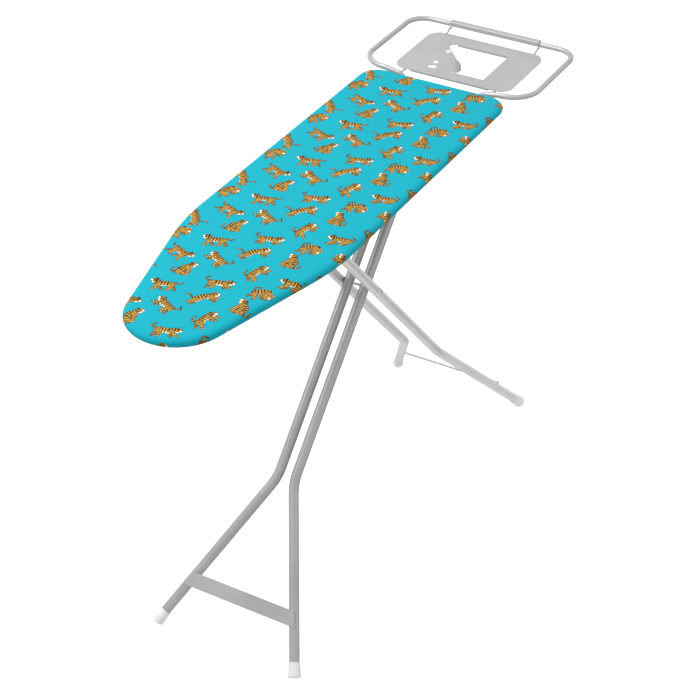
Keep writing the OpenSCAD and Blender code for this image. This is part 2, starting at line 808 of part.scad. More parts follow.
module pivot_push_nuts() {
    color(cap_white) for (side = [-1, 1])
        translate([pivot_x, side * (rear_half_gap + tube_r + 0.3), pivot_z]) rotate([-90 * side, 0, 0])
            difference() {
                rotate_extrude() polygon(concat([[0, 0], [6.5, 0]], arc([4.5, 2.2], 2, 0, 90, 6),
                    [[0, 4.2]]));
                translate([0, 0, -eps]) cylinder(r = rod_r, h = 8);
            }
}

// ---- Rear leg fittings ----

tie_rod_s = 101;
tie_rod_r = 2.5;

module rear_tie_rod() {
    half = leg_axis_y(tie_rod_s) - 1;
    color(steel_rear) rear_frame() translate([tie_rod_s, half, -tube_r - tie_rod_r])
        rotate([90, 0, 0]) cylinder(r = tie_rod_r, h = 2 * half);
}

lug_sheet = 3;
lug_r = 8.5;

module slider_lug(side) {
    y = side * rear_half_gap;
    color(steel_rear) rear_frame() difference() {
        union() {
            translate([rear_top, y + lug_sheet / 2, -top_offset]) rotate([90, 0, 0])
                cylinder(r = lug_r, h = lug_sheet);
            translate([rear_top - lug_r, y - lug_sheet / 2, -top_offset])
                cube([2 * lug_r, lug_sheet, top_offset]);
        }
        translate([rear_top - 50, y, 0]) rotate([0, 90, 0]) cylinder(r = tube_r, h = 100);
        translate([rear_top, y + 10, -top_offset]) rotate([90, 0, 0])
            cylinder(r = slider_rod_d / 2, h = 20);
    }
}

module slider_lug_left() { slider_lug(1); }
module slider_lug_right() { slider_lug(-1); }

slider_half = 77;
bush_y = 62;
bush_length = 7;

module slider_rod() {
    color(zinc) translate([slider_x, 0, 0]) side_plane(slider_half) translate([0, hinge_z, 0])
        cylinder(r = slider_rod_d / 2, h = 2 * slider_half);
}

module slider_ring(y, r, length) {
    color(nylon_grey) for (side = [-1, 1])
        translate([slider_x, side * y, hinge_z]) rotate([-90 * side, 0, 0]) difference() {
            cylinder(r = r, h = length);
            translate([0, 0, -eps]) cylinder(r = slider_rod_d / 2, h = length + 2 * eps);
        }
}

module slider_bushes() { slider_ring(bush_y, bush_r, bush_length); }
module slider_clips() { slider_ring(bush_y + bush_length, 6.5, 1); }

cover();
foam_pad();
deck_panel();
hinge_channel();
rack_channel_front();
rack_channel_rear();
rest_channel();
hinge_block_left();
hinge_block_right();
block_screws();
rack_left();
rack_right();
rack_rivets();
rest_clamp_left();
rest_clamp_right();
clamp_screws();
lever_bracket();
lever_pin();
lever_spring();
rest_loop();
rest_front_bar();
rest_wire_left();
rest_wire_right();
rest_plate();
plate_pads();
heat_strip();
release_lever();
keeper_bar();
lever_grip();
front_leg_left();
front_leg_right();
front_foot_cap_left();
front_foot_cap_right();
front_crossbar();
front_hinge_tube();
front_head_plate();
hinge_end_caps();
front_top_plugs();
pivot_rod();
pivot_washers();
pivot_push_nuts();
rear_leg_left();
rear_leg_right();
rear_foot_cap_left();
rear_foot_cap_right();
rear_tie_rod();
rear_top_plugs();
slider_lug_left();
slider_lug_right();
slider_rod();
slider_bushes();
slider_clips();
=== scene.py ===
# Ironing board: materials, the printed cover, the foam pad, camera and light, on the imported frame.
import math

import bmesh
import bpy
import numpy as np
from mathutils import Matrix, Vector


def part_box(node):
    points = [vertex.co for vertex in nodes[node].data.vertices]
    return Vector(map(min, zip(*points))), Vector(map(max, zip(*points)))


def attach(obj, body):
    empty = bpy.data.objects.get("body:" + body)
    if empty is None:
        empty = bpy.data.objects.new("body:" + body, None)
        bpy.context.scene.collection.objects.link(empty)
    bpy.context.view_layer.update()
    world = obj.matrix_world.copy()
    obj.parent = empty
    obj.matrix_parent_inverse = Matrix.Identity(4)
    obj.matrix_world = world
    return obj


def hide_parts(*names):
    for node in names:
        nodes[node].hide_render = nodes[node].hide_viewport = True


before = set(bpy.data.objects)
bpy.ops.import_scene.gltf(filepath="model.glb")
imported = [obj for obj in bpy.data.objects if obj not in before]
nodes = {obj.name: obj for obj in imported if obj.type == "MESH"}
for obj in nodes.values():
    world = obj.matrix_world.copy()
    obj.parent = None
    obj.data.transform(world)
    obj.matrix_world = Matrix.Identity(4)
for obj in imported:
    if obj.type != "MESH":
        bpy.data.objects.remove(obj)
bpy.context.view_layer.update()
scene = bpy.context.scene
scene.view_settings.view_transform = "Standard"

cover_lo, cover_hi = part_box("cover")
rear_x = cover_hi.x
LENGTH = cover_hi.x - cover_lo.x
HALF_WIDTH = (cover_hi.y - cover_lo.y) / 2
TOP, UNDER = cover_hi.z, cover_lo.z


def srgb(r, g, b):
    """An 8-bit sRGB colour as linear RGBA."""
    out = []
    for c in (r, g, b):
        c /= 255
        out.append(c / 12.92 if c <= 0.04045 else ((c + 0.055) / 1.055) ** 2.4)
    return (*out, 1.0)


def toned(color, share):
    """A colour made darker or lighter by a share."""
    return tuple(min(1, c * share) for c in color[:3]) + (1,)


# ---------------------------------------------------------------- camera

YAW, PITCH, ROLL = (math.radians(angle) for angle in (29.814, 35.357, -0.335))
CAMERA_PLACE = (rear_x - 3.2026, -1.6113, 2.7413)
SENSOR_WIDTH, FOCAL_LENGTH = 36, 94.9  # mm


def add_camera():
    forward = Vector((math.cos(YAW) * math.cos(PITCH), math.sin(YAW) * math.cos(PITCH), -math.sin(PITCH)))
    level_right = Vector((math.sin(YAW), -math.cos(YAW), 0))
    level_up = level_right.cross(forward)
    right = level_right * math.cos(ROLL) + level_up * math.sin(ROLL)
    up = level_up * math.cos(ROLL) - level_right * math.sin(ROLL)
    turn = Matrix((right, up, -forward)).transposed().to_4x4()
    lens = bpy.data.cameras.new("camera")
    lens.sensor_width, lens.lens = SENSOR_WIDTH, FOCAL_LENGTH
    lens.clip_start, lens.clip_end = 0.05, 60
    camera = bpy.data.objects.new("camera", lens)
    camera.matrix_world = Matrix.Translation(CAMERA_PLACE) @ turn
    scene.collection.objects.link(camera)
    scene.camera = camera


add_camera()

# ---------------------------------------------------------------- light

LIGHT_AIM = (0, 0, 0.6)


def area_light(name, place, size, power):
    """A round lamp that points at the middle of the object."""
    data = bpy.data.lights.new(name, "AREA")
    data.shape, data.size, data.energy = "DISK", size, power
    lamp = bpy.data.objects.new(name, data)
    lamp.location = place
    lamp.rotation_mode = "QUATERNION"
    lamp.rotation_quaternion = (Vector(LIGHT_AIM) - Vector(place)).to_track_quat("-Z", "Y")
    scene.collection.objects.link(lamp)


area_light("key", (-0.7, 1.5, 3.7), 2.4, 91)
area_light("fill", (1.8, -2.6, 2.4), 2.0, 12)

world = bpy.data.worlds.new("studio")
scene.world = world
world.use_nodes = True
sky = world.node_tree
background = sky.nodes["Background"]
towards = sky.nodes.new("ShaderNodeTexCoord").outputs["Generated"]


def ramp_of_light(axis, start, end, low, high):
    """Light that goes from low to high as a direction turns towards an axis."""
    facing = sky.nodes.new("ShaderNodeVectorMath")
    facing.operation = "DOT_PRODUCT"
    sky.links.new(towards, facing.inputs[0])
    facing.inputs[1].default_value = axis
    ramp = sky.nodes.new("ShaderNodeMapRange")
    ramp.interpolation_type = "SMOOTHSTEP"
    sky.links.new(facing.outputs["Value"], ramp.inputs[0])
    for key, value in enumerate((start, end, low, high), 1):
        ramp.inputs[key].default_value = value
    return ramp.outputs[0]


# a white dome, with a darker screen low on the right that draws the metal's edges
screen_axis = Vector((0.62, -0.75, -0.6)).normalized()
dome = ramp_of_light((0, 0, 1), start=0.0, end=0.6, low=0.7, high=0.64)
screen = ramp_of_light(screen_axis, start=0.86, end=0.98, low=1.0, high=0.42)
product = sky.nodes.new("ShaderNodeMath")
product.operation = "MULTIPLY"
sky.links.new(dome, product.inputs[0])
sky.links.new(screen, product.inputs[1])
sky.links.new(product.outputs[0], background.inputs["Strength"])
background.inputs["Color"].default_value = (1.0, 0.995, 0.985, 1)

# ---------------------------------------------------------------- node helper


class Net:
    """A material's node tree, written as expressions."""

    def __init__(self, name):
        self.material = bpy.data.materials.new(name)
        self.material.use_nodes = True
        self.tree = self.material.node_tree
        self.shader = self.tree.nodes["Principled BSDF"]

    def put(self, socket, value):
        if isinstance(value, bpy.types.NodeSocket):
            self.tree.links.new(value, socket)
        elif value is not None:
            socket.default_value = value

    def node(self, kind, inputs=(), **settings):
        made = self.tree.nodes.new(kind)
        for key, value in settings.items():
            setattr(made, key, value)
        for key, value in dict(inputs).items():
            self.put(made.inputs[key], value)
        return made

    def math(self, operation, *values, clamp=False):
        made = self.node("ShaderNodeMath", enumerate(values), operation=operation, use_clamp=clamp)
        return made.outputs[0]

    def vec(self, operation, *values):
        made = self.node("ShaderNodeVectorMath", enumerate(values), operation=operation)
        gives_number = operation in ("DOT_PRODUCT", "LENGTH", "DISTANCE")
        return made.outputs["Value" if gives_number else "Vector"]

    def scale(self, vector, factor):
        made = self.node("ShaderNodeVectorMath", {"Vector": vector, "Scale": factor}, operation="SCALE")
        return made.outputs["Vector"]

    def split(self, vector):
        """A vector's X and Y."""
        parts = self.node("ShaderNodeSeparateXYZ", {"Vector": vector}).outputs
        return parts["X"], parts["Y"]

    def combine(self, x, y):
        return self.node("ShaderNodeCombineXYZ", {"X": x, "Y": y}).outputs[0]

    def step(self, value, low, high, a=0.0, b=1.0):
        """a below low, b above high, smooth between."""
        made = self.node("ShaderNodeMapRange", enumerate((value, low, high, a, b)),
                         interpolation_type="SMOOTHSTEP")
        return made.outputs[0]

    def mix(self, share, a, b):
        """Two colours mixed."""
        return self.node("ShaderNodeMix", {0: share, 6: a, 7: b}, data_type="RGBA").outputs[2]

    def mix_vectors(self, share, a, b):
        return self.node("ShaderNodeMix", {0: share, 4: a, 5: b}, data_type="VECTOR").outputs[1]

    def mix_numbers(self, share, a, b):
        return self.node("ShaderNodeMix", {0: share, 2: a, 3: b}, data_type="FLOAT").outputs[0]

    def noise(self, where, scale, detail=2.0, rough=0.5):
        return self.node("ShaderNodeTexNoise", {
            "Vector": where, "Scale": scale, "Detail": detail, "Roughness": rough}).outputs["Fac"]

    def cells(self, where, scale, output):
        return self.node("ShaderNodeTexVoronoi", {"Vector": where, "Scale": scale}).outputs[output]

    def coords(self):
        return self.node("ShaderNodeTexCoord").outputs["Object"]

    def bump(self, height, strength, distance, under=None):
        made = self.node("ShaderNodeBump", {
            "Height": height, "Strength": strength, "Distance": distance, "Normal": under})
        return made.outputs["Normal"]

    def finish(self, color, rough, normal, **sockets):
        self.put(self.shader.inputs["Base Color"], color)
        self.put(self.shader.inputs["Roughness"], rough)
        self.put(self.shader.inputs["Normal"], normal)
        for key, value in sockets.items():
            self.put(self.shader.inputs[key.replace("_", " ")], value)
        return self.material


# ---------------------------------------------------------------- hard materials


def painted_steel(name, color, spread, metallic=0.6, rough=0.36, streak=(1, 1, 1)):
    """Powder-coated or lacquered steel: fine orange peel, faint mottling, soft scuffs."""
    net = Net(name)
    where = net.coords()
    mottle = net.noise(where, 9, 4)
    scuff = net.noise(net.vec("MULTIPLY", where, streak), 70, 6, 0.7)
    dark, light = toned(color, 1 - spread), toned(color, 1 + spread)
    base = net.mix(net.step(mottle, 0.35, 0.65), dark, light)
    base = net.mix(net.step(scuff, 0.62, 0.8, 0, 0.35), base, light)
    orange_peel = net.bump(net.noise(where, 900, 2), 0.12, 0.0006)
    normal = net.bump(net.noise(where, 2600, 1), 0.06, 0.0003, orange_peel)
    return net.finish(base, net.step(scuff, 0.3, 0.8, rough - 0.05, rough + 0.1), normal,
                      Metallic=metallic, Coat_Weight=0.06, Coat_Roughness=0.3)


def zinc_plate(name, color, rough=0.36):
    """Zinc-plated sheet: faint spangle and drawn lines."""
    net = Net(name)
    where = net.coords()
    spangle = net.cells(where, 140, "Color")
    grey = net.node("ShaderNodeSeparateColor", {"Color": spangle}).outputs[0]
    lines = net.noise(net.vec("MULTIPLY", where, (3, 500, 500)), 1, 3)
    base = net.mix(grey, toned(color, 0.82), color)
    base = net.mix(net.step(lines, 0.4, 0.7, 0, 0.3), base, (0.9, 0.91, 0.93, 1))
    normal = net.bump(lines, 0.08, 0.0002)
    return net.finish(base, net.step(grey, 0, 1, rough - 0.06, rough + 0.08), normal, Metallic=0.9)


def moulded(name, color, rough, gloss=0.0):
    """Injection-moulded plastic with a fine mould texture and slight dirt."""
    net = Net(name)
    where = net.coords()
    cloud = net.noise(where, 35, 5, 0.6)
    base = net.mix(net.step(cloud, 0.35, 0.7), color, toned(color, 0.9))
    normal = net.bump(net.noise(where, 1500, 2), 0.1, 0.0004)
    return net.finish(base, net.step(cloud, 0.3, 0.7, rough, rough + 0.08), normal,
                      Coat_Weight=gloss, Coat_Roughness=0.2, IOR=1.48)


def dress(material, *names):
    """Gives CAD nodes a material."""
    for name in names:
        for slot in nodes[name].material_slots:
            slot.material = material


dress(painted_steel("front_steel", srgb(188, 188, 188), 0.05, streak=(1, 1, 3)),
      "front_leg_left", "front_leg_right", "front_crossbar", "front_hinge_tube", "front_head_plate")
dress(painted_steel("rear_steel", srgb(236, 236, 236), 0.04, streak=(1, 1, 3)),
      "rear_leg_left", "rear_leg_right", "slider_lug_left", "slider_lug_right")
dress(painted_steel("rest_steel", srgb(186, 186, 186), 0.03, metallic=0.3, rough=0.42),
      "rest_loop", "rest_front_bar", "rest_wire_left", "rest_wire_right", "rest_plate", "heat_strip")
dress(painted_steel("rod_steel", srgb(168, 168, 169), 0.05), "rear_tie_rod")
dress(painted_steel("deck", srgb(176, 179, 182), 0.05, rough=0.38), "deck_panel")
dress(zinc_plate("zinc", srgb(186, 188, 192)),
      "hinge_channel", "rack_channel_front", "rack_channel_rear", "rest_channel", "block_screws",
      "rack_left", "rack_right", "rack_rivets", "rest_clamp_left", "rest_clamp_right", "clamp_screws",
      "lever_bracket", "lever_pin", "lever_spring", "release_lever", "keeper_bar", "pivot_rod",
      "pivot_washers", "slider_rod")
dress(moulded("cap_white", srgb(246, 246, 246), 0.35, gloss=0.2),
      "plate_pads", "front_foot_cap_left", "front_foot_cap_right", "rear_foot_cap_left",
      "rear_foot_cap_right", "hinge_end_caps", "front_top_plugs", "rear_top_plugs", "pivot_push_nuts")
dress(moulded("nylon", srgb(105, 108, 113), 0.5),
      "hinge_block_left", "hinge_block_right", "lever_grip", "slider_bushes", "slider_clips")

# ---------------------------------------------------------------- printed cloth

TILE = (300.0, 156.0)  # the print's repeat, in mm: across the board, then along it
PRINT_SCALE = 1.1
CLOTH, CLOTH_SHADE = srgb(0, 171, 190), srgb(0, 162, 190)
FUR, CREAM, INK = srgb(214, 163, 64), srgb(250, 244, 232), srgb(46, 30, 16)

BONES = ("rump", "back", "shoulder", "head", "near_fore_knee", "near_fore_paw", "far_fore_knee",
         "far_fore_paw", "near_hind_knee", "near_hind_paw", "far_hind_knee", "far_hind_paw",
         "tail_root", "tail_bend", "tail_tip")
# Each pose gives the bones' places in mm, for a cat that faces +X.
STALK = [(-12, 2), (-2, 1), (9, -1), (19, 1), (14, -9), (20, -14), (7, -9), (10, -15), (-9, -8),
         (-12, -14), (-17, -7), (-21, -12), (-20, 9), (-24, 16), (-17, 20)]
WALK = [(-12, 2), (-2, 4), (9, 3), (17, 11), (12, -7), (17, -15), (6, -7), (1, -14), (-12, -8),
        (-8, -15), (-17, -6), (-22, -14), (-20, 8), (-27, 4), (-31, 10)]
LEAP = [(-12, -4), (-3, 4), (9, 6), (18, 11), (17, -1), (25, 2), (13, -4), (20, -9), (-18, -8),
        (-26, -9), (-14, -11), (-20, -17), (-20, 4), (-24, 12), (-31, 12)]
SIT = [(-6, -8), (-5, 3), (3, 9), (9, 17), (8, 0), (10, -13), (4, -2), (4, -14), (0, -10), (6, -15),
       (-4, -12), (0, -16), (-15, -12), (-22, -6), (-19, 3)]
LIE = [(-11, -4), (-2, 1), (8, 2), (15, 10), (15, -6), (24, -8), (12, -8), (20, -12), (-4, -10),
       (4, -12), (-11, -11), (-4, -14), (-20, -6), (-25, 2), (-20, 9)]
REAR_UP = [(-6, -7), (-3, 3), (3, 11), (8, 19), (12, 9), (20, 14), (9, 4), (17, 3), (0, -14),
           (4, -22), (-9, -15), (-8, -23), (-15, -8), (-21, -1), (-17, 8)]
ARCH = [(-9, -6), (-7, 5), (3, 10), (13, 5), (8, 0), (15, -6), (3, 0), (8, -10), (-3, -12),
        (-1, -19), (-12, -12), (-14, -19), (-17, -2), (-21, 7), (-14, 14)]
# pose, place in the repeat (across, along), turn in degrees, faces left
CATS = [
    (STALK, 14, 22, 24, False),
    (ARCH, 92, 30, -14, False),
    (LEAP, 166, 20, -28, True),
    (SIT, 240, 30, 10, False),
    (REAR_UP, 52, 76, 16, False),
    (LIE, 128, 82, 30, True),
    (WALK, 204, 72, -26, False),
    (STALK, 278, 82, -34, True),
    (LEAP, 16, 128, 26, False),
    (SIT, 90, 134, -8, True),
    (ARCH, 166, 126, 24, False),
    (WALK, 242, 132, 20, True),
]
LOOKUP_SPAN = 100.0  # looked-up numbers lie within half of this, either side of zero
LOOKUP_ONE = 50.0  # stands for 1 where a sine, a cosine or a sign is looked up
CAT_SHIFT = -3.0  # mm, added to the spot's X, so each cat sits 3 mm ahead of its place


def nearest_cat(net, spot):
    """The way from the nearest cat's place to a spot, and that cat's number as a share of the list."""
    half = (TILE[0] / 2, TILE[1] / 2, 1000.0)
    low = tuple(-side for side in half)
    best = way = index = None
    for i, (_, x, y, _, _) in enumerate(CATS):
        share = (i + 0.5) / len(CATS)
        candidate = net.vec("WRAP", net.vec("SUBTRACT", spot, (x, y, 0)), half, low)
        distance = net.vec("LENGTH", candidate)
        if best is None:
            best, way, index = distance, candidate, share
            continue
        nearer = net.math("LESS_THAN", distance, best)
        way = net.mix_vectors(nearer, way, candidate)
        index = net.mix_numbers(nearer, index, share)
        best = net.math("MINIMUM", distance, best)
    return way, index


def looked_up(net, index, rows):
    """Four numbers for the chosen cat, from a row of four for each cat."""
    ramp = net.node("ShaderNodeValToRGB", {"Fac": index})
    band = ramp.color_ramp
    band.interpolation = "CONSTANT"
    while len(band.elements) < len(rows):
        band.elements.new(0.5)
    for i, element in enumerate(band.elements):
        element.position = i / len(rows)
    for element, row in zip(band.elements, rows):
        element.color = [value / LOOKUP_SPAN + 0.5 for value in row]
    parts = net.node("ShaderNodeSeparateColor", {"Color": ramp.outputs["Color"]}).outputs
    shares = (parts[0], parts[1], parts[2], ramp.outputs["Alpha"])
    return [net.math("MULTIPLY_ADD", share, LOOKUP_SPAN, -LOOKUP_SPAN / 2) for share in shares]


def cats_own_frame(net, flat, way, index):
    """The spot as the chosen cat sees it, with a slightly unsteady line."""
    rows = []
    for _, _, _, degrees, faces_left in CATS:
        turn = math.radians(degrees)
        sign = -1 if faces_left else 1
        rows.append((LOOKUP_ONE * math.cos(turn), LOOKUP_ONE * math.sin(turn), LOOKUP_ONE * sign, 0))
    looked = looked_up(net, index, rows)
    x, y = net.split(way)
    cos, sin = net.math("DIVIDE", looked[0], LOOKUP_ONE), net.math("DIVIDE", looked[1], LOOKUP_ONE)
    turned_x = net.math("ADD", net.math("MULTIPLY", x, cos), net.math("MULTIPLY", y, sin))
    turned_y = net.math("SUBTRACT", net.math("MULTIPLY", y, cos), net.math("MULTIPLY", x, sin))
    turned_x = net.math("MULTIPLY", turned_x, net.math("DIVIDE", looked[2], LOOKUP_ONE))
    wobble = net.math("MULTIPLY_ADD", net.noise(flat, 0.35, 1), 2.0, -1.0)
    shifted_x = net.math("ADD", turned_x, CAT_SHIFT)
    return net.combine(net.math("ADD", shifted_x, wobble), net.math("ADD", turned_y, wobble))


class Cat:
    """The chosen cat. Each shape is given as the distance from the spot to its edge, below 0 inside."""

    def __init__(self, net, flat, way, index):
        self.net = net
        self.spot = cats_own_frame(net, flat, way, index)
        poses = [pose + [(0, 0)] for pose, *_ in CATS]
        places = []
        for k in range(0, len(BONES), 2):
            values = looked_up(net, index, [(*pose[k], *pose[k + 1]) for pose in poses])
            places += [net.combine(values[0], values[1]), net.combine(values[2], values[3])]
        self.bone = dict(zip(BONES, places))
        self.ahead = net.vec("NORMALIZE", net.vec("SUBTRACT", self.bone["head"], self.bone["shoulder"]))
        self.above_head = net.vec("CROSS_PRODUCT", (0, 0, 1), self.ahead)

    def on_head(self, x, y):
        """A place on the head: x towards the nose, y towards the ears."""
        net = self.net
        offset = net.vec("ADD", net.scale(self.ahead, x), net.scale(self.above_head, y))
        return net.vec("ADD", self.bone["head"], offset)

    def limb(self, start, end, start_radius, end_radius):
        """A tapered limb from one bone to another."""
        net = self.net
        from_start = net.vec("SUBTRACT", self.spot, self.bone[start])
        whole = net.vec("SUBTRACT", self.bone[end], self.bone[start])
        share = net.math("DIVIDE", net.vec("DOT_PRODUCT", from_start, whole),
                         net.vec("DOT_PRODUCT", whole, whole), clamp=True)
        gap = net.vec("LENGTH", net.vec("SUBTRACT", from_start, net.scale(whole, share)))
        radius = net.math("MULTIPLY_ADD", share, end_radius - start_radius, start_radius)
        return net.math("SUBTRACT", gap, radius)

    def blob(self, place, radius):
        return self.net.math("SUBTRACT", self.net.vec("DISTANCE", self.spot, place), radius)

    def join(self, parts, soft):
        distance = parts[0]
        for other in parts[1:]:
            distance = self.net.math("SMOOTH_MIN", distance, other, soft)
        return distance

    def body(self):
        ears = self.join([
            self.blob(self.on_head(-3.8, 5.8), 2.6), self.blob(self.on_head(1.6, 6.8), 2.3)], 0.3)
        return self.join([
            self.limb("rump", "back", 8.4, 7.4), self.limb("back", "shoulder", 7.4, 8.4),
            self.limb("shoulder", "head", 6.8, 6.0), self.blob(self.bone["head"], 7.2),
            self.blob(self.on_head(4.8, -1.6), 4.2), ears], 2.0)

    def near_legs(self):
        return self.join([
            self.limb("shoulder", "near_fore_knee", 5.2, 3.9),
            self.limb("near_fore_knee", "near_fore_paw", 3.7, 3.2),
            self.limb("rump", "near_hind_knee", 6.6, 4.2),
            self.limb("near_hind_knee", "near_hind_paw", 3.8, 3.2)], 1.2)

    def far_legs(self):
        return self.join([
            self.limb("shoulder", "far_fore_knee", 4.8, 3.5),
            self.limb("far_fore_knee", "far_fore_paw", 3.4, 3.0),
            self.limb("rump", "far_hind_knee", 5.6, 3.8),
            self.limb("far_hind_knee", "far_hind_paw", 3.6, 3.0)], 1.2)

    def tail(self):
        return self.join([
            self.limb("rump", "tail_root", 3.0, 2.2), self.limb("tail_root", "tail_bend", 2.2, 1.8),
            self.limb("tail_bend", "tail_tip", 1.8, 1.5)], 0.8)

    def pale_face(self):
        return self.join([
            self.blob(self.on_head(6.2, -3.4), 3.0), self.blob(self.on_head(-0.6, -5.8), 2.5),
            self.limb("shoulder", "near_fore_knee", 2.6, 1.4)], 0.4)

    def eye_and_nose(self):
        eye, nose = self.blob(self.on_head(2.8, 2.2), 1.2), self.blob(self.on_head(8.2, -0.8), 1.3)
        return self.net.math("MINIMUM", eye, nose)


def filled(net, distance, soft):
    """1 inside a shape and 0 outside, with a soft edge."""
    return net.step(distance, -soft, soft, 1, 0)


def inked(net, under, distance, inside):
    """The inside colour and a dark outline over what is there."""
    drawn = net.mix(net.step(distance, -0.95, -0.6), inside, INK)
    return net.mix(filled(net, distance, 0.15), under, drawn)


def cats_on(net, flat, ground):
    """The ground colour with the print's cats on it."""
    # the print stands upright for someone who looks from the nose towards the rear
    x, y = net.split(flat)
    way, index = nearest_cat(net, net.combine(net.math("MULTIPLY", y, -1.0), x))
    cat = Cat(net, flat, way, index)
    rump, shoulder, head = cat.bone["rump"], cat.bone["shoulder"], cat.bone["head"]
    ripple = net.math("MULTIPLY_ADD", net.noise(flat, 0.5, 2), 5.0, -2.5)

    def bands(value, pitch):
        turns = net.math("MULTIPLY", value, 2 * math.pi / pitch)
        return net.math("SINE", net.math("ADD", turns, ripple))

    # stripes across the trunk, bands on legs, tail and brow
    trunk = net.vec("NORMALIZE", net.vec("SUBTRACT", shoulder, rump))
    from_rump = net.vec("SUBTRACT", cat.spot, rump)
    along = net.vec("DOT_PRODUCT", from_rump, trunk)
    above = net.vec("DOT_PRODUCT", from_rump, net.vec("CROSS_PRODUCT", (0, 0, 1), trunk))
    thinness = net.step(above, -7.0, 5.0, 0.75, -0.4)
    trunk_stripe = net.step(net.math("SUBTRACT", bands(along, 5.0), thinness), 0.0, 0.25)
    leg_stripe = net.step(bands(net.split(cat.spot)[1], 4.2), 0.25, 0.5)
    tail_stripe = net.step(bands(net.vec("LENGTH", from_rump), 4.4), 0.2, 0.4)
    on_brow = net.step(net.vec("DISTANCE", cat.spot, cat.on_head(-1, 3)), 3.8, 4.4, 1, 0)
    brow = net.step(bands(net.vec("DISTANCE", cat.spot, cat.on_head(5, -2)), 3.0), 0.4, 0.6)
    brow = net.math("MULTIPLY", brow, on_brow)
    off_head = net.step(net.vec("DISTANCE", cat.spot, head), 7.0, 8.5)
    belly = net.math("MULTIPLY", net.step(above, -5.6, -3.2, 1.0, 0.0), off_head)
    far_stripe = net.math("MAXIMUM", net.math("MULTIPLY", leg_stripe, 0.6),
                          net.math("MULTIPLY", tail_stripe, 0.9))

    fur = net.mix(net.noise(flat, 0.9, 3), toned(FUR, 0.72), toned(FUR, 1.22))
    art = inked(net, ground, cat.join([cat.far_legs(), cat.tail()], 0.4),
                net.mix(far_stripe, net.mix(0.2, fur, INK), INK))
    coat = net.mix(belly, fur, CREAM)
    coat = net.mix(trunk_stripe, coat, INK)
    coat = net.mix(filled(net, cat.pale_face(), 0.3), coat, CREAM)
    coat = net.mix(net.math("MAXIMUM", filled(net, cat.eye_and_nose(), 0.2), brow), coat, INK)
    art = inked(net, art, cat.body(), coat)
    return inked(net, art, cat.near_legs(), net.mix(leg_stripe, fur, INK))


def printed_cotton():
    """Plain-woven cotton with the print, slightly uneven."""
    net = Net("cover")
    uv = net.node("ShaderNodeUVMap", uv_map="Cloth").outputs["UV"]
    flat = net.scale(uv, 1000.0 / PRINT_SCALE)
    ground = net.mix(net.step(net.noise(flat, 0.012, 3), 0.3, 0.7, 0, 0.06), CLOTH, CLOTH_SHADE)
    art = cats_on(net, flat, ground)
    threads = []
    for direction in ("X", "Y"):
        wave = net.node("ShaderNodeTexWave", {"Vector": flat, "Scale": 0.36, "Distortion": 0.6},
                        bands_direction=direction)
        threads.append(wave.outputs["Fac"])
    weave = net.math("MULTIPLY", *threads)
    slub = net.noise(net.vec("MULTIPLY", flat, (0.05, 1.2, 1)), 1.0, 3)
    # painted shade: up to a tenth darker, towards dark teal, in the weave's gaps between the threads
    art = net.mix(net.step(weave, 0.0, 0.5, 0.10, 0.0), art, (0, 0.05, 0.07, 1))
    normal = net.bump(net.noise(flat, 0.02, 3), 0.25, 0.004)
    normal = net.bump(weave, 0.25, 0.00025, normal)
    normal = net.bump(slub, 0.12, 0.0003, normal)
    return net.finish(art, net.step(weave, 0, 1, 0.85, 0.72), normal,
                      Sheen_Weight=0.03, Sheen_Roughness=0.5, Specular_IOR_Level=0.22)


def foam():
    """Open-celled foam, slightly yellowed in patches."""
    net = Net("foam")
    where = net.coords()
    cells = net.cells(where, 900, "Distance")
    # painted shade: darker towards the middle of each cell, in the hollows of the pores
    base = net.mix(net.step(cells, 0.1, 0.6), srgb(176, 176, 170), srgb(214, 214, 208))
    base = net.mix(net.step(net.noise(where, 30, 3), 0.3, 0.7, 0, 0.2), base, srgb(196, 190, 176))
    return net.finish(base, 0.95, net.bump(cells, 0.5, 0.0006))


def paper():
    """White studio paper that glows a little, so that it stays white."""
    net = Net("paper")
    base = net.mix(net.noise(net.coords(), 3, 3), (0.93, 0.93, 0.93, 1), (0.96, 0.96, 0.96, 1))
    return net.finish(base, 0.9, net.bump(net.noise(net.coords(), 400, 2), 0.03, 0.0005),
                      Emission_Color=(1, 1, 1, 1), Emission_Strength=0.45)

# ---------------------------------------------------------------- skins round the board

NOSE_R, CORNER_R, SHOULDER_R = 0.102, 0.045, 0.5
TAPER = 0.429  # from the nose's tip to where the sides are parallel
OUTLINE_STEP = 0.005
SPINE_END = 0.17  # the top's middle line ends this far from the rear edge
TOP_RINGS = 22  # from the middle line to the rim
PUCKER_PITCH = 0.12  # between the widest puckers of the edge

HEM_FRAMES = 24
HEM_CAP = 0.0035  # how far a point of the hem may move
HEM_SPARE = 0.3  # share of the spare length that the gathers take up
HEM_CEILING = UNDER + 0.0006  # no point of the hem moves higher than this


def on_circle(angle):
    return np.array([math.cos(angle), math.sin(angle)])


